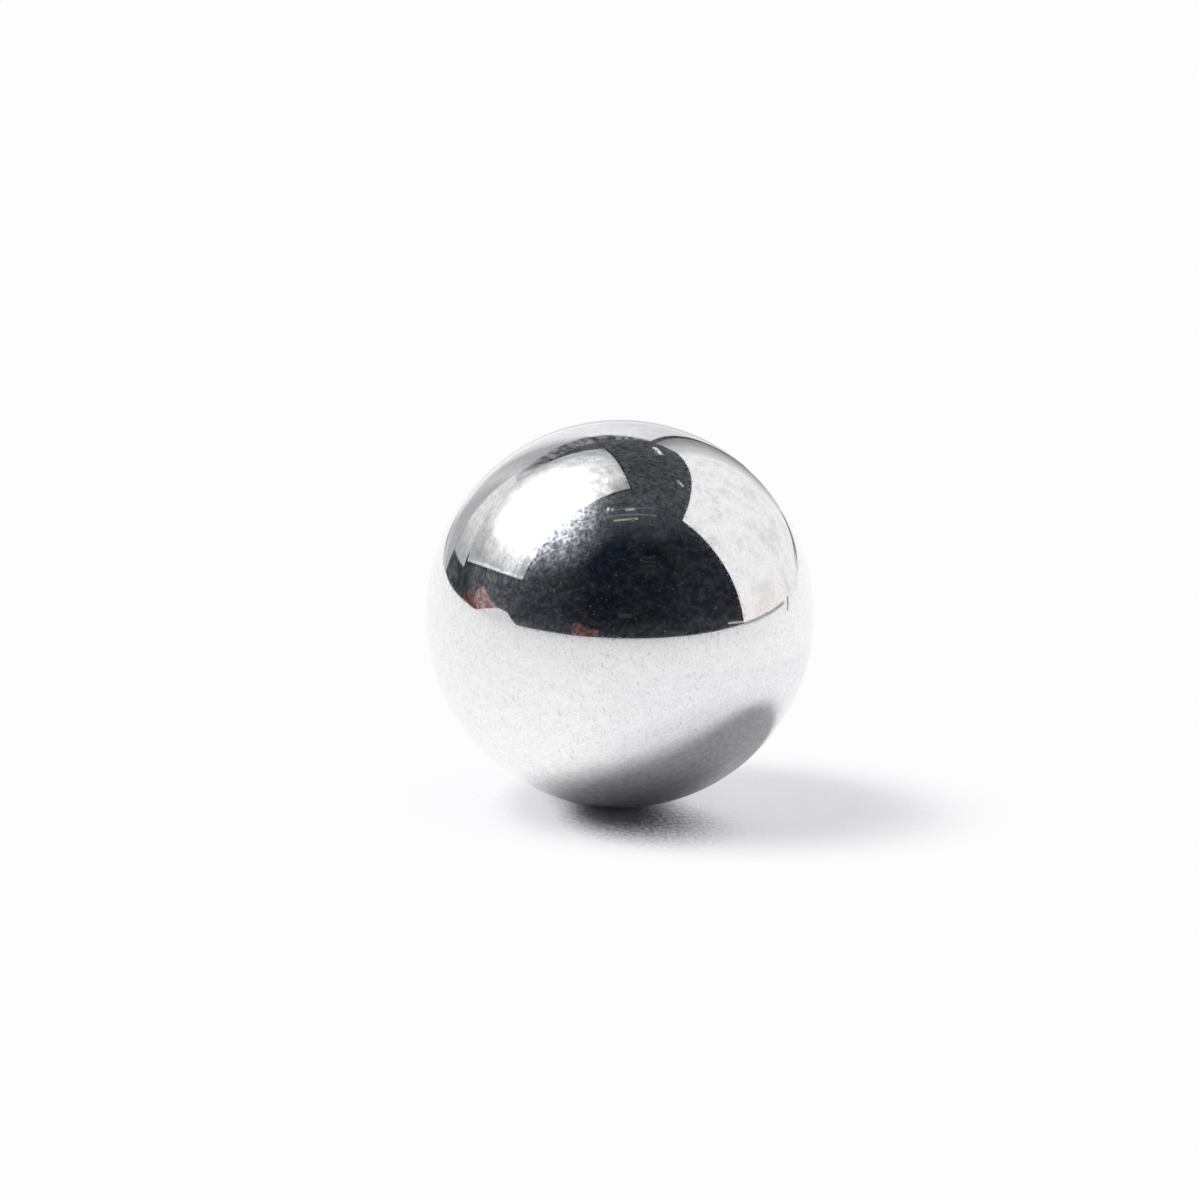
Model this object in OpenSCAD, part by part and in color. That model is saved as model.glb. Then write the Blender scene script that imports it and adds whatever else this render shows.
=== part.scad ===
// Solid steel ball, ground and polished all over: one true sphere, with no flat, bore or seam.
// Its centre is the origin, +Z is up, and lengths are in millimetres.

/* [Ball] */
// Diameter of the ball
ball_d = 20; // [3:0.5:100]

/* [Hidden] */

// Segments round the ball
segments = 180;
steel_colour = [0.80, 0.81, 0.83];

// The ball: one piece, with its centre at the origin
module ball() {
    color(steel_colour)
        sphere(d = ball_d, $fn = segments);
}

ball();
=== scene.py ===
import math
import random

import bmesh
import bpy
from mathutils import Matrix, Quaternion, Vector, noise


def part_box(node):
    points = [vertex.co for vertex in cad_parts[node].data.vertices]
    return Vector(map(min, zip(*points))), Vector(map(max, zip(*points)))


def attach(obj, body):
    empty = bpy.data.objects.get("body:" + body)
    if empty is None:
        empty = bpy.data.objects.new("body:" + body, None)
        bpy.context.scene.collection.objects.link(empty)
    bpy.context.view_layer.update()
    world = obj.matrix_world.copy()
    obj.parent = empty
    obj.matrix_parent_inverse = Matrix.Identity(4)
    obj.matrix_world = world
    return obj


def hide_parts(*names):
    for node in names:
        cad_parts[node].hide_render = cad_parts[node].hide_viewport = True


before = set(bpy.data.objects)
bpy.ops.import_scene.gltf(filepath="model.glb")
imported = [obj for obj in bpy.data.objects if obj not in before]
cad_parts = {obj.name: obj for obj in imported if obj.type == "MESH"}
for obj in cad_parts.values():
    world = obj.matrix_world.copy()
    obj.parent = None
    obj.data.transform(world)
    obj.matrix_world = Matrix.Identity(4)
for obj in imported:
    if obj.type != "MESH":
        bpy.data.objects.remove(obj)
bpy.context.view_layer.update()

# Lengths are in metres. Places in the set round the ball are in ball radii, and become metres
# when they are multiplied by RADIUS. Azimuth 0 points away from the camera, 90 to its right.
ball_low, ball_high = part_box("ball")
RADIUS = (ball_high.z - ball_low.z) / 2
CENTRE = (ball_low + ball_high) / 2
FLOOR_Z = CENTRE.z - RADIUS
MM = 0.001
MICRON = 0.000001

# The photograph's view
CAMERA_ELEVATION = 14.0  # degrees above the table
CAMERA_ROLL = 1.3
CAMERA_LENS = 100.0
SENSOR = 36.0
BALL_SHARE = 0.324  # the ball's width as a share of the picture's height
AIM_LEFT = 0.106  # in ball radii: the ball stands a little right of the middle and below it
AIM_UP = 0.067

# The lamp inside the softbox
KEY_AZIMUTH = -73.0
KEY_ELEVATION = 57.0
KEY_DISTANCE = 60.0
KEY_WIDE = 24.0
KEY_TALL = 16.0

# How bright each lamp's face is
KEY_LEVEL = 21.3
SOFTBOX_LEVEL = 0.45
SIDE_LEVEL = 0.69
BACK_LEVEL = 0.68
SURROUND_LEVEL = 0.10

WHITE = (0.982, 0.982, 0.992, 1)


def toward(azimuth, elevation):
    """A unit vector. The angles are in degrees."""
    a, e = math.radians(azimuth), math.radians(elevation)
    return Vector((math.sin(a) * math.cos(e), math.cos(a) * math.cos(e), math.sin(e)))


def place_at(azimuth, elevation, distance):
    """A point of the set, seen from the ball's centre."""
    return CENTRE + toward(azimuth, elevation) * distance * RADIUS


# ---------------------------------------------------------------- node trees


class Nodes:
    """A short way to build a node tree: each call adds its nodes and links or sets their inputs."""

    def __init__(self, tree):
        tree.nodes.clear()
        self.tree = tree

    def put(self, socket, value):
        if isinstance(value, bpy.types.NodeSocket):
            self.tree.links.new(value, socket)
        else:
            socket.default_value = value

    def add(self, kind, inputs=None, **settings):
        made = self.tree.nodes.new(kind)
        for name, value in settings.items():
            setattr(made, name, value)
        for name, value in (inputs or {}).items():
            self.put(made.inputs[name], value)
        return made

    def math(self, operation, a, b=0.0, clamp=False):
        return self.add("ShaderNodeMath", {0: a, 1: b}, operation=operation, use_clamp=clamp).outputs[0]

    def each(self, operation, values):
        """One value after another, joined by the operation."""
        result = values[0]
        for value in values[1:]:
            result = self.math(operation, result, value)
        return result

    def times(self, *values):
        return self.each("MULTIPLY", values)

    def plus(self, *values):
        return self.each("ADD", values)

    def minus(self, *values):
        return self.each("SUBTRACT", values)

    def largest(self, values):
        return self.each("MAXIMUM", values)

    def vector(self, operation, a, b=(0.0, 0.0, 0.0)):
        made = self.add("ShaderNodeVectorMath", {0: a, 1: b}, operation=operation)
        return made.outputs["Value" if operation in ("LENGTH", "DOT_PRODUCT", "DISTANCE") else "Vector"]

    def scaled(self, vector, by):
        return self.add("ShaderNodeVectorMath", {0: vector, "Scale": by}, operation="SCALE").outputs[0]

    def ramp(self, value, low, high, to_low=0.0, to_high=1.0, smooth=True):
        made = self.add(
            "ShaderNodeMapRange",
            {"Value": value, "From Min": low, "From Max": high, "To Min": to_low, "To Max": to_high},
            interpolation_type="SMOOTHSTEP" if smooth else "LINEAR",
        )
        return made.outputs["Result"]

    def line(self, value, low, high, to_low, to_high):
        """A ramp with a straight slope."""
        return self.ramp(value, low, high, to_low, to_high, smooth=False)

    def bell(self, distance, width):
        """1 at distance 0, falling smoothly to nothing past the width."""
        share = self.math("DIVIDE", distance, width)
        return self.math("EXPONENT", self.times(self.times(share, share), -1.0))

    def mix(self, factor, a, b):
        """From colour a to colour b."""
        made = self.add("ShaderNodeMix", data_type="RGBA")
        self.put(made.inputs[0], factor)
        self.put(made.inputs[6], a)
        self.put(made.inputs[7], b)
        return made.outputs[2]

    def blend(self, factor, a, b):
        """From value a to value b."""
        return self.add("ShaderNodeMix", {0: factor, 2: a, 3: b}, data_type="FLOAT").outputs[0]

    def noise(self, vector, scale, detail=1.0, roughness=0.5):
        inputs = {"Vector": vector, "Scale": scale, "Detail": detail, "Roughness": roughness}
        return self.add("ShaderNodeTexNoise", inputs).outputs[0]

    def place(self, kind="Object"):
        return self.add("ShaderNodeTexCoord").outputs[kind]


def new_material(name):
    """A material with an empty node tree."""
    material = bpy.data.materials.new(name)
    material.use_nodes = True
    return material, Nodes(material.node_tree)


# ---------------------------------------------------------------- the ball

# Marks in the skin: length and width in millimetres, and the share of the places that have one
STROKE = (0.30, 0.10)
FLECK = (0.45, 0.16, 0.03)
SCRATCH = (5.0, 0.10, 0.03)
DUST = (0.20, 0.11, 0.08)
TURNS = [(0, 15, 10), (0, 70, 40), (0, -35, 95), (20, -80, 150)]  # directions of the marks, in degrees

# Heights and depths in the material, in microns
WAVES_HIGH = 1.5
STROKES_DEEP = 0.12
FLECKS_DEEP = 1.0
SCRATCHES_DEEP = 0.4

STEEL = (0.990, 0.990, 0.990)
BALL_STEPS = 128  # quads along each of the ball's six faces
DING_COUNT = 70
DING_SEED = 12


def in_marks(n, place, long, wide, turn):
    """A place counted in marks of one size, which all lie along one direction."""
    rotation = [math.radians(a) for a in turn]
    inputs = {"Vector": place, "Rotation": rotation, "Scale": (long, wide, wide)}
    return n.add("ShaderNodeMapping", inputs, vector_type="TEXTURE").outputs[0]


def grain(n, place, long, wide, turn):
    """Soft short strokes, all along one direction: about 0.5 between them, higher on them."""
    return n.noise(in_marks(n, place, long, wide, turn), 1.0)


def marks(n, in_mm, long, wide, share, turn):
    """Short nicks, all along one direction, of many depths."""
    cells = n.add("ShaderNodeTexVoronoi", {"Vector": in_marks(n, in_mm, long, wide, turn), "Scale": 1.0})
    chance = n.add("ShaderNodeSeparateColor", {"Color": cells.outputs["Color"]}).outputs[0]
    dent = n.ramp(cells.outputs["Distance"], 0.5, 0.1)
    return n.times(dent, n.line(chance, 1 - share, 1.0, 0.0, 1.0))


def polished_steel():
    """Lapped steel: a mirror with a dense grain of short strokes, flecks, scratches, haze and dust."""
    material, n = new_material("polished_steel")
    in_mm = n.scaled(n.place(), 1 / MM)

    strokes = n.ramp(n.largest([grain(n, in_mm, *STROKE, turn) for turn in TURNS]), 0.60, 0.80)
    flecks = n.largest([marks(n, in_mm, *FLECK, turn) for turn in TURNS[1:3]])
    scratches = n.largest([marks(n, in_mm, *SCRATCH, turn) for turn in TURNS[1:]])
    dust = n.largest([marks(n, in_mm, *DUST, turn) for turn in TURNS[:2]])
    mottle = n.noise(in_mm, 1.7, 2.0)
    clouds = n.noise(in_mm, 4.0)
    waves = n.noise(in_mm, 0.7)

    height = n.minus(
        n.times(waves, WAVES_HIGH),
        n.times(strokes, STROKES_DEEP),
        n.times(flecks, FLECKS_DEEP),
        n.times(scratches, SCRATCHES_DEEP),
    )
    normal = n.add("ShaderNodeBump", {"Strength": 1.0, "Distance": MICRON, "Height": height})

    roughness = n.plus(
        n.line(strokes, 0.0, 1.0, 0.030, 0.14),
        n.ramp(mottle, 0.4, 0.7, 0.0, 0.015),
        n.times(flecks, 0.08),
    )
    roughness = n.math("ADD", roughness, n.times(scratches, 0.05), clamp=True)

    bright = n.times(
        n.ramp(mottle, 0.3, 0.7, 1.0, 0.96),
        n.ramp(clouds, 0.3, 0.7, 1.0, 0.95),
        n.line(strokes, 0.0, 1.0, 1.0, 0.82),
        n.line(flecks, 0.0, 1.0, 1.0, 0.75),
    )
    shader = n.add(
        "ShaderNodeBsdfPrincipled",
        {
            "Base Color": n.scaled(STEEL, bright),
            "Metallic": n.line(dust, 0.0, 1.0, 1.0, 0.84),
            "Roughness": roughness,
            "Normal": normal.outputs["Normal"],
        },
    )
    n.add("ShaderNodeOutputMaterial", {"Surface": shader.outputs[0]})
    return material


def quad_sphere(name, radius, steps, relief):
    """A ball of even quads: a cube with faces in grids of equal angles, pushed out to a sphere."""
    mesh = bpy.data.meshes.new(name)
    bm = bmesh.new()
    known = {}

    def corner(p):
        key = (round(p.x, 6), round(p.y, 6), round(p.z, 6))
        if key not in known:
            unit = p.normalized()
            known[key] = bm.verts.new(unit * (radius + relief(unit)))
        return known[key]

    line = [math.tan(math.radians(-45 + 90 * i / steps)) for i in range(steps + 1)]
    for axis in range(3):
        for side in (-1, 1):
            out, u, v = Vector(), Vector(), Vector()
            out[axis] = side
            u[(axis + 1) % 3] = 1
            v[(axis + 2) % 3] = side
            rows = [[corner(out + u * a + v * b) for a in line] for b in line]
            for low, high in zip(rows, rows[1:]):
                for i in range(steps):
                    bm.faces.new((low[i], low[i + 1], high[i + 1], high[i]))
    bm.normal_update()
    bm.to_mesh(mesh)
    bm.free()
    mesh.shade_smooth()
    made = bpy.data.objects.new(name, mesh)
    bpy.context.collection.objects.link(made)
    return made


def ball_relief():
    """How far the surface stands off the true sphere: waves of about a micron, and small dings."""
    draw = random.Random(DING_SEED)
    dings = []
    for _ in range(DING_COUNT):
        way = Vector((draw.gauss(0, 1), draw.gauss(0, 1), draw.gauss(0, 1))).normalized()
        width = draw.uniform(0.25, 0.6) * MM / RADIUS
        dings.append((way, width, draw.uniform(1.0, 4.0) * MICRON))

    def relief(unit):
        wave = noise.noise(unit * 5.0) + noise.noise(unit * 14.0) * 0.35
        depth = wave * MICRON
        for way, width, deep in dings:
            away = (unit - way).length / width
            if away < 1:
                depth -= deep * (1 - away * away) ** 2
        return depth

    return relief


ball = quad_sphere("steel_ball", RADIUS, BALL_STEPS, ball_relief())
ball.location = CENTRE
ball.data.materials.append(polished_steel())
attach(ball, "root")
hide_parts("ball")

# ---------------------------------------------------------------- the floor

FLOOR_HALF = 3.0  # metres
TOOTH_DEEP = 35 * MICRON


def oval(n, in_radii, middle, half_axes, turn=0.0):
    """How far a place lies from the middle of an oval, where 1 is on its edge."""
    location = (*middle, 0.0)
    rotation = (0, 0, math.radians(turn))
    inputs = {"Vector": in_radii, "Location": location, "Rotation": rotation, "Scale": (*half_axes, 1.0)}
    return n.vector("LENGTH", n.add("ShaderNodeMapping", inputs, vector_type="TEXTURE").outputs[0])


def painted_contact_shade(n, in_radii):
    """Painted shade: the card is darkest where the ball stands close over it."""
    front = n.ramp(oval(n, in_radii, (0.20, -0.42), (0.75, 0.47)), 0.0, 1.1, 0.40, 1.0)
    back = n.ramp(oval(n, in_radii, (0.0, 0.18), (0.60, 0.42)), 0.0, 1.1, 0.30, 1.0)
    return n.times(front, back)


def card_colour(n, place, tooth, path):
    """The card's colour: bluish as the camera sees it, a painted lavender tint for its shadow, and more
    mottled as the ball mirrors it.
    """
    # Bluish to the camera: a painted lavender tint of the shade on the card.
    straight = n.scaled((0.910, 0.900, 0.965), n.ramp(tooth, 0.3, 0.7, 0.93, 1.04))
    mottle = n.noise(place, 1.8 / MM, 3.0, 0.65)
    in_mirror = n.scaled((0.930, 0.928, 0.948), n.line(mottle, 0.3, 0.7, 0.82, 1.15))
    return n.mix(path["Is Camera Ray"], in_mirror, straight)


def sheen(n, in_radii, tooth, path):
    """Seen low across the card, its sheen lightens the shadow, but not the dark spot under the ball."""
    over_shadow = n.ramp(oval(n, in_radii, (0.46, -0.03), (1.46, 0.90)), 0.5, 1.17, 0.58, 1.0)
    from_spot = n.vector("SUBTRACT", in_radii, (-0.06, -0.20, 0.0))
    tail = n.vector("DOT_PRODUCT", from_spot, (0.44, -0.36, 0.0))
    spot = n.minus(n.vector("LENGTH", from_spot), tail)
    spot = n.plus(spot, n.ramp(tooth, 0.3, 0.7, -0.03, 0.03))
    from_contact = n.ramp(n.vector("LENGTH", in_radii), 0.12, 0.42)
    return n.times(over_shadow, n.ramp(spot, 0.09, 0.38), from_contact, path["Is Camera Ray"])


def plain_in_mirrors(n, in_radii, x, distance, path):
    """In mirrors, the card shows plain past the ball's shadow, and most plainly on the lamp's side."""
    lamp_side = n.ramp(x, 0.3, -0.8, 0.55, 1.0)
    past_shadow = n.ramp(oval(n, in_radii, (0.66, -0.17), (1.08, 0.73), 8), 0.82, 1.28)
    lit = n.largest([n.times(past_shadow, lamp_side), n.ramp(distance, 2.0, 4.0)])
    return n.times(n.largest([path["Is Glossy Ray"], path["Is Transmission Ray"]]), lit)


def plain_white(n, y, distance, path):
    """White to the camera. In mirrors it is duller far away, most of all toward the camera: a painted
    falloff of the light.
    """
    to_camera = n.times(n.math("DIVIDE", y, distance), -1.1)
    painted_falloff = n.times(n.math("LOGARITHM", distance, math.e), n.times(n.plus(to_camera, 1.0), 0.05))
    return n.minus(1.0, n.times(painted_falloff, n.minus(1.0, path["Is Camera Ray"])))


def white_card():
    """White card with a fine tooth, which shows plain white to the camera past the ball's shadow."""
    material, n = new_material("white_card")
    place = n.place()
    in_radii = n.vector("MULTIPLY", place, (1 / RADIUS, 1 / RADIUS, 0.0))
    path = n.add("ShaderNodeLightPath").outputs
    tooth = n.noise(place, 4.5 / MM, 2.0)
    bump = n.add("ShaderNodeBump", {"Strength": 1.0, "Distance": TOOTH_DEEP, "Height": tooth})
    # The card's colour, darkened by painted shade under the ball.
    colour = n.scaled(card_colour(n, place, tooth, path), painted_contact_shade(n, in_radii))
    matt = n.add("ShaderNodeBsdfDiffuse", {"Color": colour, "Normal": bump.outputs["Normal"]})

    x, y, _ = n.add("ShaderNodeSeparateXYZ", {0: in_radii}).outputs
    distance = n.math("MAXIMUM", n.vector("LENGTH", in_radii), 1.0)
    white = n.add("ShaderNodeEmission", {"Color": WHITE, "Strength": plain_white(n, y, distance, path)})
    share = n.plus(sheen(n, in_radii, tooth, path), plain_in_mirrors(n, in_radii, x, distance, path))
    both = n.add("ShaderNodeMixShader", {0: share, 1: matt.outputs[0], 2: white.outputs[0]})
    n.add("ShaderNodeOutputMaterial", {"Surface": both.outputs[0]})
    return material


def flat_piece(name, corners, material, sag=0.0):
    """A four-sided card, whose UV map runs from 0 to 1 along its first side and down its last.

    Its first side may sag between its ends, by a share of the card's height.
    """
    a, b, c, d = corners
    steps = 24 if sag else 1
    points, uvs = [], []
    for i in range(steps + 1):
        across = i / steps
        top, foot = a.lerp(b, across), d.lerp(c, across)
        points += [top.lerp(foot, sag * 4 * across * (1 - across)), foot]
        uvs += [(across, 0.0), (across, 1.0)]
    faces = [(2 * i, 2 * i + 2, 2 * i + 3, 2 * i + 1) for i in range(steps)]
    mesh = bpy.data.meshes.new(name)
    mesh.from_pydata(points, [], faces)
    layer = mesh.uv_layers.new(name="across_and_down")
    for loop, uv in zip(mesh.loops, layer.data):
        uv.uv = uvs[loop.vertex_index]
    mesh.materials.append(material)
    made = bpy.data.objects.new(name, mesh)
    bpy.context.collection.objects.link(made)
    return made


flat_piece(
    "floor",
    [Vector((x * FLOOR_HALF, y * FLOOR_HALF, FLOOR_Z)) for x, y in ((-1, 1), (1, 1), (1, -1), (-1, -1))],
    white_card(),
)

# ---------------------------------------------------------------- what the ball mirrors


def painted(name, paint, clear=False):
    """A material with the colour that paint() gives at each place across and down a card.

    A clear one adds its colour to what lies behind it.
    """
    material, n = new_material(name)
    across, down, _ = n.add("ShaderNodeSeparateXYZ", {0: n.place("UV")}).outputs
    glow = n.add("ShaderNodeEmission", {"Color": paint(n, across, down), "Strength": 1.0})
    if clear:
        behind = n.add("ShaderNodeBsdfTransparent")
        glow = n.add("ShaderNodeAddShader", {0: glow.outputs[0], 1: behind.outputs[0]})
    n.add("ShaderNodeOutputMaterial", {"Surface": glow.outputs[0]})
    material.cycles.emission_sampling = "NONE"
    return material


def only_in_mirrors(thing):
    """It shows in the ball and nowhere else, casts no shadow and lights nothing else."""
    for ray in ("camera", "diffuse", "transmission", "volume_scatter", "shadow"):
        setattr(thing, "visible_" + ray, False)


def card(name, corners, paint, sag=0.0, **settings):
    """A painted card that only the ball shows. Its corners are handed back."""
    only_in_mirrors(flat_piece(name, corners, painted(name, paint, **settings), sag))
    return corners


def on_card(corners, across, down):
    """The place across and down a card, also past its edges."""
    a, b, c, d = corners
    top, foot = a + (b - a) * across, d + (c - d) * across
    return top + (foot - top) * down


def further(corners, by):
    """The same corners, in the same directions from the ball, at a larger distance."""
    return [CENTRE + (corner - CENTRE) * by for corner in corners]


def border(corners, fixed, by):
    """A card's dark outline: its corners a little larger about a fixed point, and further away."""
    return further([fixed + (corner - fixed) * by for corner in corners], 1.01)


def plain(red, green, blue):
    """A paint of one even colour."""
    return lambda n, across, down: (red, green, blue, 1)


def flat_place(n, across, down, wide=1.0, tall=1.0):
    """A place on a card, as a vector, in the card's own width and height."""
    place = n.add("ShaderNodeCombineXYZ", {0: across, 1: down}).outputs[0]
    return n.vector("MULTIPLY", place, (wide, tall, 0.0))


# ------------------------------ the softbox

# Its cloth, in ball radii, and where on it its lamp shines through
BOX_WIDE = 57.0
BOX_TALL = 88.0
LAMP_ACROSS = 0.57
LAMP_DOWN = 0.57
CORE_WIDE = 14.3
GLOW_WIDE = 25.5

# How far the card of its bloom reaches, in the softbox's widths and heights
HALO_ACROSS = 1.8
HALO_DOWN = 1.35

BLACK = plain(0.006, 0.006, 0.007)


def lamp_glow(n, in_radii, across, crease):
    """The lamp through the cloth: a hot core with a wide glow, and an edge made uneven by creases."""
    away = n.vector("DISTANCE", in_radii, (LAMP_ACROSS * BOX_WIDE, LAMP_DOWN * BOX_TALL, 0.0))
    warp = n.times(n.line(crease, 0.3, 0.7, 4.0, -4.0), n.ramp(across, 0.15, 0.5, 0.3, 1.0))
    away = n.plus(away, warp)
    core = n.times(n.bell(away, CORE_WIDE), n.ramp(across, 0.25, 0.50, 2.8, 5.0))
    glow = n.times(n.bell(away, GLOW_WIDE), n.ramp(across, 0.15, 0.45, 0.8, 1.0))
    return n.plus(core, glow)


def box_cloth(n, in_radii, across, down, crease):
    """The cloth by itself: duller downward, at its top edge and in its upper right corner."""
    weave = n.largest([grain(n, in_radii, 2.2, 0.8, (0, 0, turn)) for turn in (20, -65)])
    far_side = n.ramp(down, 0.45, 0.75, 0.72, 1.45)  # duller above, brighter below
    upper_right = n.times(n.ramp(across, 0.70, 0.98), n.ramp(down, 0.30, 0.10))
    return n.times(
        n.ramp(down, 0.10, 0.95, 0.66, 0.28),
        n.line(crease, 0.3, 0.7, 0.65, 1.30),
        n.line(weave, 0.45, 0.70, 0.85, 1.20),
        n.ramp(across, 0.05, 0.38, far_side, 1.0),
        n.ramp(down, 0.0, 0.12, 0.80, 1.0),
        n.ramp(upper_right, 0.0, 1.0, 1.0, 0.55),
    )


def folds_and_hem(n, cloth, across, down):
    """Bright folds near the foot, and a bright hem along it."""
    folds = n.noise(flat_place(n, across, down, 16.0, 1.6), 1.0, 2.0)
    folds = n.times(n.ramp(folds, 0.48, 0.62), n.ramp(down, 0.66, 0.84), n.ramp(across, 0.62, 0.80))
    hem = n.times(n.ramp(down, 0.975, 0.99, 0.0, 0.45), n.bell(n.minus(across, 0.55), 0.38))
    return n.plus(cloth, n.times(folds, 0.28), hem)


def softbox_paint(n, across, down):
    """A white cloth with its lamp shining through."""
    in_radii = flat_place(n, across, down, BOX_WIDE, BOX_TALL)
    crease = n.noise(in_radii, 0.13, 4.0, 0.6)
    cloth = folds_and_hem(n, box_cloth(n, in_radii, across, down, crease), across, down)
    level = n.plus(cloth, lamp_glow(n, in_radii, across, crease))
    cool = n.times(n.ramp(across, 0.35, 0.05), n.ramp(down, 0.45, 0.30))
    return n.scaled(n.mix(cool, (1.0, 1.0, 1.0, 1), (0.94, 0.97, 1.06, 1)), level)


def halo_paint(n, across, down):
    """A painted bloom of the softbox's light past the box's near side and foot, on a clear card: it
    stands in for the scatter of the ball's worn skin.
    """
    s = n.times(across, HALO_ACROSS)
    t = n.times(down, HALO_DOWN)
    past = n.math("MAXIMUM", n.minus(s, 1.0), 0.0)
    beside = n.times(
        n.math("EXPONENT", n.times(past, -6.25)),
        n.bell(n.minus(t, 0.60), 0.20),
        n.ramp(s, 0.35, 0.95),
    )
    below = n.times(n.ramp(s, 1.3, 0.5, 0.0, 0.06), n.ramp(t, HALO_DOWN, 1.2), n.ramp(s, 0.0, 0.30))
    place = flat_place(n, s, t, BOX_WIDE, BOX_TALL)
    strokes = n.largest([grain(n, place, 4.2, 1.7, (0, 0, turn)) for turn in (25, -60)])
    clumps = n.noise(place, 0.16, 3.0, 0.65)
    level = n.times(
        n.plus(n.times(beside, 1.6), below),
        n.ramp(across, 1.0, 0.85),
        n.line(strokes, 0.47, 0.70, 0.35, 1.9),
        n.line(clumps, 0.3, 0.7, 0.4, 1.6),
    )
    return n.scaled((0.95, 0.98, 1.07), level)


softbox = card(
    "softbox",
    [place_at(-10, 52, 94), place_at(62, 86, 86), place_at(-115, 22, 63), place_at(-67, 11.5, 76)],
    softbox_paint,
)
card("softbox_border", border(softbox, on_card(softbox, 0.0, 0.5), 1.035), BLACK)
halo_spots = [(0.0, 0.0), (HALO_ACROSS, 0.0), (HALO_ACROSS, HALO_DOWN), (0.0, HALO_DOWN)]
halo_corners = [on_card(softbox, across, down) for across, down in halo_spots]
card("softbox_halo", further(halo_corners, 1.005), halo_paint, clear=True)

# ------------------------------ the boards and the wall

SIDE_SAG = 0.10


def side_paint(n, across, down):
    """A white foam board, slightly scuffed, greyer at its far end, with painted shade as a dark line
    along its foot.
    """
    where = flat_place(n, across, down, 1.25, 1.0)
    scuffs = n.ramp(n.noise(where, 7.0, 4.0, 0.6), 0.42, 0.72)
    colour = n.mix(scuffs, (0.91, 0.91, 0.915, 1), (0.74, 0.74, 0.74, 1))
    far_grey = n.times(n.ramp(across, 0.12, 0.0), n.ramp(n.noise(where, 3.0, 3.0), 0.3, 0.6, 0.4, 1.0))
    colour = n.mix(far_grey, colour, (0.68, 0.68, 0.69, 1))
    blush = n.times(n.ramp(down, 0.84, 0.96), n.ramp(across, 0.65, 0.85, 0.0, 0.4))
    colour = n.mix(blush, colour, (0.93, 0.78, 0.77, 1))
    # Painted shadow: a dark line along the board's foot.
    foot = n.times(n.ramp(down, 0.955, 0.975), n.ramp(across, 0.50, 0.25, 0.0, 0.9))
    return n.mix(foot, colour, (0.12, 0.12, 0.12, 1))


def end_paint(n, across, down):
    """The board's turned end, in shade where it meets the gap behind it."""
    return n.scaled((1.0, 1.0, 1.02), n.ramp(across, 0.0, 1.0, 0.28, 0.62))


def wall_streaks(n, level, across, down):
    """Dark streaks over the upper part of the wall."""
    streaks = n.noise(flat_place(n, across, down, 9.0, 1.5), 3.0, 3.0, 0.6)
    corner = n.plus(across, n.times(down, 0.9))
    above = n.times(n.ramp(down, 0.38, 0.27), n.ramp(across, 0.20, 0.34), n.ramp(corner, 1.06, 0.97))
    return n.blend(above, level, n.ramp(streaks, 0.35, 0.65, 0.05, 0.32))


def back_paint(n, across, down):
    """The wall behind: white in the middle of the view, in painted shade grey to its left, and dark
    streaks above.
    """
    rightward = n.plus(across, n.times(down, 0.25))
    # Painted shade: the wall greys toward its left.
    white = n.times(n.ramp(rightward, 0.66, 0.86, 0.44, 0.86), n.ramp(rightward, 0.88, 1.15, 1.0, 0.82))
    seam = n.minus(n.plus(across, n.times(down, -0.42)), 0.12)
    low_edge = n.minus(n.plus(down, n.times(across, 0.24)), 1.03)
    level = n.plus(white, n.times(n.bell(seam, 0.07), 0.16), n.times(n.bell(low_edge, 0.035), 0.16))
    mottle = n.noise(flat_place(n, across, down, 20.0, 6.0), 1.0, 3.0)
    level = n.times(wall_streaks(n, level, across, down), n.line(mottle, 0.3, 0.7, 0.94, 1.06))
    return n.scaled((0.99, 0.99, 1.03), level)


def strip_paint(n, across, down):
    """A pale board, bluer and darker at its foot, and darker along its far edge."""
    colour = n.mix(n.ramp(down, 0.55, 0.95), (0.75, 0.755, 0.73, 1), (0.43, 0.46, 0.47, 1))
    mottle = n.noise(flat_place(n, across, down, 1.0, 3.0), 5.0, 3.0)
    level = n.times(n.ramp(across, 0.88, 0.98, 1.0, 0.72), n.line(mottle, 0.3, 0.7, 0.88, 1.12))
    return n.scaled(colour, level)


side_board = card(
    "side_board",
    [place_at(22, 43.5, 106), place_at(109, 58, 79), place_at(103.4, 0.5, 42), place_at(22, 0.0, 82)],
    side_paint,
    sag=SIDE_SAG,
)
card("side_board_border", border(side_board, side_board[3], 1.012), BLACK, sag=SIDE_SAG)
card(
    "side_board_end",
    [place_at(11.8, 41.5, 104), place_at(22, 43.5, 104), place_at(22, 0.3, 82), place_at(12.2, 0.3, 84)],
    end_paint,
)
back_board = card(
    "back_board",
    [CENTRE + Vector((x, 60, z)) * RADIUS for x, z in ((-66, 72), (10, 52), (12, -1), (-66, -1))],
    back_paint,
)
card(
    "pale_strip",
    [place_at(-54, 40, 88), place_at(-32.5, 27, 88), place_at(-47.5, 6.5, 88), place_at(-66, 8.7, 88)],
    strip_paint,
)

# ------------------------------ the ceiling

CEILING = 100.0  # in ball radii above the ball's centre


def on_ceiling(x, y):
    return CENTRE + Vector((x, y, CEILING)) * RADIUS


def ceiling_light(name, start, end, wide, colour):
    """A straight light on the ceiling."""
    a, b = on_ceiling(*start), on_ceiling(*end)
    side = (b - a).cross(Vector((0, 0, 1))).normalized() * wide / 2 * RADIUS
    card(name, [a + side, b + side, b - side, a - side], plain(*colour))


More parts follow.
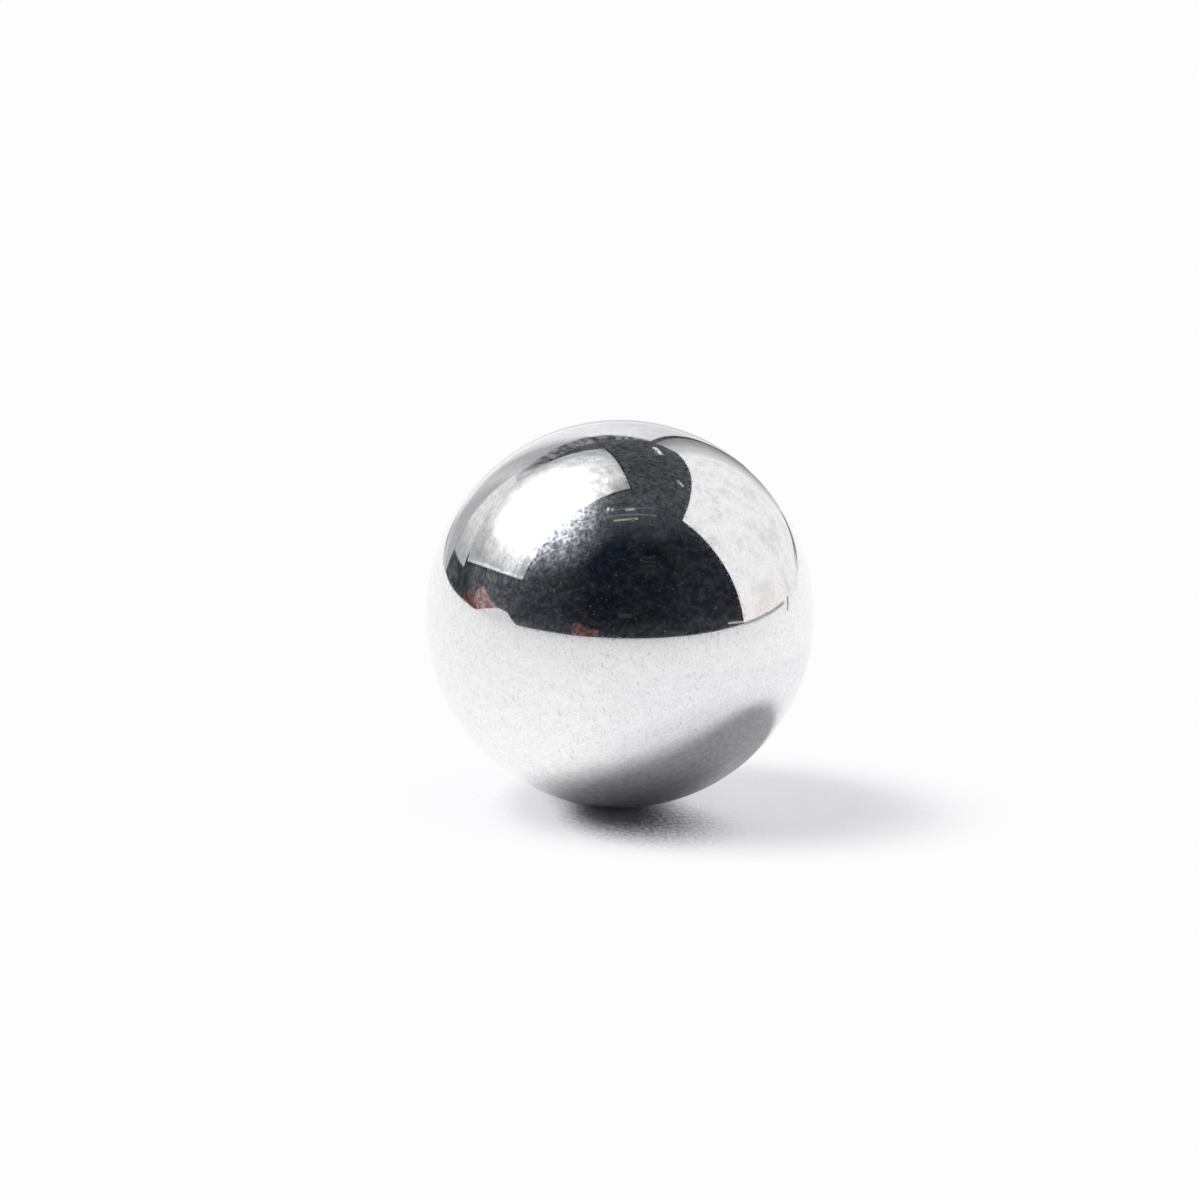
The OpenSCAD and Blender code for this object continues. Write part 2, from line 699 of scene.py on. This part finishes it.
ceiling_light("rail_near", (-18, -33), (32, -26), 2.0, (0.13, 0.15, 0.15))
ceiling_light("rail_far", (-17, -26), (31, -17), 1.5, (0.12, 0.13, 0.14))
ceiling_light("tube_near", (-8, -38), (15, -34), 2.2, (0.34, 0.33, 0.29))
ceiling_light("tube_far", (3, -24), (11, -22), 2.4, (0.42, 0.41, 0.40))
ceiling_light("spot_left", (-13, -25), (-12, -21), 2.0, (0.75, 0.75, 0.78))
ceiling_light("spot_right", (-9, -25), (-8.5, -22), 1.8, (0.55, 0.55, 0.58))
ceiling_light("slit_far", (22, 93), (27, 75), 3.5, (0.85, 0.85, 0.85))
ceiling_light("slit_side", (42, 33), (49, 27), 2.5, (0.50, 0.50, 0.50))

# ------------------------------ low things on the table and in the room

FAR = 120.0  # in ball radii
FARTHER = 125.0


def rumpled(red, green, blue):
    """A paint of one colour in soft folds, with painted light and shade across them."""
    def paint(n, across, down):
        folds = n.noise(flat_place(n, across, down), 4.0, 2.0)
        # Painted light and shade of the folds: half to one and a half times the colour.
        return n.scaled((red, green, blue), n.ramp(folds, 0.35, 0.65, 0.5, 1.5))

    return paint


def slats(n, across, down):
    """A dim window behind three slats."""
    part = n.math("FRACT", n.times(down, 3.0))
    from_middle = n.math("ABSOLUTE", n.minus(part, 0.5))
    return n.scaled((0.018, 0.023, 0.024), n.ramp(from_middle, 0.15, 0.35, 1.1, 0.55))


def far_thing(name, spots, paint, distance=FAR):
    """Something far from the ball, between four directions, each an azimuth and an elevation."""
    card(name, [place_at(azimuth, elevation, distance) for azimuth, elevation in spots], paint)


white_paper = plain(0.68, 0.67, 0.67)
far_thing("curled_card", [(-87, -0.5), (-104, 4.7), (-110.8, 4.3), (-118.8, -1)], white_paper, 110)

pale_red = rumpled(0.28, 0.165, 0.16)
dark_red = rumpled(0.11, 0.045, 0.042)
brown_red = rumpled(0.12, 0.062, 0.060)
far_thing("red_heap", [(-83, 5.5), (-88.8, 10.2), (-103, 4.6), (-89, -1)], pale_red)
far_thing("dark_red_heap", [(-71.5, 0.5), (-78.8, 4.8), (-87, 5.5), (-89, -1)], dark_red, FARTHER)
far_thing("small_heap", [(-152.8, 6.6), (-157.5, 6.9), (-161, 4), (-153, 0)], brown_red)
far_thing("small_heap_end", [(-156, 4.4), (-168.5, 4), (-168, 0), (-153, 0)], brown_red, FARTHER)

white_foot = plain(0.85, 0.85, 0.855)
foot_shadow = plain(0.38, 0.355, 0.35)
pale_edge = plain(0.42, 0.42, 0.43)
dark_tick = plain(0.14, 0.14, 0.14)
far_thing("board_foot", [(46, 1.0), (68, 0.8), (68, -1.5), (46, -1.5)], white_foot, 38)
# A painted shadow line under the side board's foot.
far_thing("board_foot_shadow", [(67, 0.7), (103.4, 0.6), (103.4, -0.7), (67, -0.9)], foot_shadow, 41.5)
far_thing("tick", [(63.7, 0.7), (65.2, 0.7), (67.1, -3.4), (65.6, -3.4)], dark_tick, 17)
far_thing("white_edge", [(103.5, 1.4), (114.5, 2.9), (114.5, 1.9), (103.5, 0.5)], pale_edge, 40)

dim_light = plain(0.028, 0.034, 0.035)
far_thing("dim_window", [(164, 47.5), (152, 46), (154.5, 38.6), (166, 39.6)], slats)
far_thing("dim_slit", [(-179, 14), (173, 14), (173, 11.5), (-179, 11.5)], dim_light)

# ------------------------------ the dark room

ROOM = 250.0  # in ball radii


def room_glow(n, x, y, z):
    """The room is a little lighter behind, to the sides and low down."""
    behind = n.ramp(y, 0.45, 0.80, 0.0, 0.035)
    beside = n.plus(n.ramp(x, -0.20, -0.90, 0.0, 0.030), n.ramp(x, 0.25, 0.80, 0.0, 0.010))
    low = n.ramp(z, 0.20, 0.02, 0.0, 0.016)
    return n.scaled((1.0, 1.0, 1.12), n.plus(behind, n.plus(beside, low)))


def room_speckle(n, up, overhead):
    """Faint blotches and specks, which are smaller overhead."""
    lowest = n.ramp(overhead, 0.0, 1.0, 0.75, 0.92)
    blotch = n.ramp(n.noise(up, 6.0, 4.0, 0.65), 0.3, 0.7, lowest, 1.2)
    fine = n.largest([grain(n, up, 0.10, 0.05, turn) for turn in ((0, 0, 35), (60, 0, -50))])
    fine = n.line(fine, 0.47, 0.72, 0.70, 1.6)
    tiny = n.line(n.noise(up, 30.0, 2.0, 0.7), 0.35, 0.65, 0.50, 1.55)
    return n.times(blotch, n.blend(overhead, fine, tiny))


def room_paint(n, across, down):
    """A dark room, lighter overhead."""
    up = n.vector("NORMALIZE", n.place())
    x, y, z = n.add("ShaderNodeSeparateXYZ", {"Vector": up}).outputs
    patches = n.ramp(n.noise(up, 3.0), 0.35, 0.65)
    tint = n.mix(patches, (0.0080, 0.0115, 0.0180, 1), (0.0110, 0.0120, 0.0155, 1))
    overhead = n.ramp(n.plus(z, n.times(y, 0.25)), 0.60, 0.95)
    shade = n.mix(overhead, tint, (0.057, 0.059, 0.067, 1))
    shade = n.vector("ADD", shade, room_glow(n, x, y, z))
    return n.scaled(shade, room_speckle(n, up, overhead))


def dark_room(radius):
    """A shell round the whole set, which only the ball shows."""
    mesh = bpy.data.meshes.new("dark_room")
    bm = bmesh.new()
    bmesh.ops.create_icosphere(bm, subdivisions=3, radius=radius)
    bm.to_mesh(mesh)
    bm.free()
    mesh.materials.append(painted("dark_room", room_paint))
    made = bpy.data.objects.new("dark_room", mesh)
    bpy.context.collection.objects.link(made)
    made.location = CENTRE
    only_in_mirrors(made)


dark_room(ROOM * RADIUS)

# ---------------------------------------------------------------- lamps


def area_lamp(name, corners, level):
    """A soft lamp over four corners, of a given brightness, which mirrors don't show."""
    a, b, c, d = corners
    middle = (a + b + c + d) / 4
    along = (b - a + c - d) / 2
    across = (d - a + c - b) / 2
    facing = across.cross(along).normalized()
    if facing.dot(CENTRE - middle) < 0:
        facing = -facing
    data = bpy.data.lights.new(name, "AREA")
    data.shape = "RECTANGLE"
    data.size = along.length
    data.size_y = across.length
    data.energy = level * math.pi * data.size * data.size_y
    made = bpy.data.objects.new(name, data)
    bpy.context.collection.objects.link(made)
    made.location = middle
    x_axis = along.normalized()
    z_axis = -facing
    turn = Vector((0, 0, 1)).rotation_difference(z_axis)
    turned = turn @ Vector((1, 0, 0))
    twist = math.atan2(turned.cross(x_axis).dot(z_axis), turned.dot(x_axis))
    made.rotation_mode = "QUATERNION"
    made.rotation_quaternion = Quaternion(z_axis, twist) @ turn
    made.visible_glossy = False
    made.visible_camera = False


def key_corners():
    """The corners of the lamp in the softbox, which faces the ball."""
    middle = place_at(KEY_AZIMUTH, KEY_ELEVATION, KEY_DISTANCE)
    side = toward(KEY_AZIMUTH + 90, 0) * KEY_WIDE / 2 * RADIUS
    up = toward(KEY_AZIMUTH + 180, 90 - KEY_ELEVATION) * KEY_TALL / 2 * RADIUS
    return [middle - side - up, middle + side - up, middle + side + up, middle - side + up]


area_lamp("key", key_corners(), KEY_LEVEL)
area_lamp("softbox_fill", softbox, SOFTBOX_LEVEL)
area_lamp("side_fill", side_board, SIDE_LEVEL)
area_lamp("back_fill", back_board, BACK_LEVEL)


def white_surround():
    """White where it shows, and a weak even light where it lights."""
    world = bpy.data.worlds.new("white_surround")
    bpy.context.scene.world = world
    world.use_nodes = True
    n = Nodes(world.node_tree)
    path = n.add("ShaderNodeLightPath").outputs
    shown = n.largest([path["Is Camera Ray"], path["Is Glossy Ray"], path["Is Transmission Ray"]])
    light = n.add("ShaderNodeBackground", {"Color": (0.95, 0.95, 1.0, 1), "Strength": SURROUND_LEVEL})
    white = n.add("ShaderNodeBackground", {"Color": WHITE, "Strength": 1.0})
    both = n.add("ShaderNodeMixShader", {0: shown, 1: light.outputs[0], 2: white.outputs[0]})
    n.add("ShaderNodeOutputWorld", {"Surface": both.outputs[0]})


white_surround()

# ---------------------------------------------------------------- camera


def photograph_camera():
    """The photograph's view, with the ball as large and as far from the middle as it is there."""
    data = bpy.data.cameras.new("camera")
    data.lens = CAMERA_LENS
    data.sensor_width = SENSOR
    data.clip_start = RADIUS / 10
    data.clip_end = 10.0
    camera = bpy.data.objects.new("camera", data)
    bpy.context.collection.objects.link(camera)
    half_view = math.atan(BALL_SHARE * SENSOR / 2 / CAMERA_LENS)
    back = toward(180, CAMERA_ELEVATION)
    camera.location = CENTRE + back * RADIUS / math.sin(half_view)
    level = (-back).to_track_quat("-Z", "Y")
    aim = CENTRE + (level @ Vector((-AIM_LEFT, AIM_UP, 0))) * RADIUS
    sight = (aim - camera.location).normalized()
    roll = Quaternion((0, 0, 1), math.radians(CAMERA_ROLL))
    camera.rotation_mode = "QUATERNION"
    camera.rotation_quaternion = sight.to_track_quat("-Z", "Y") @ roll
    bpy.context.scene.camera = camera


photograph_camera()
bpy.context.scene.view_settings.view_transform = "Standard"
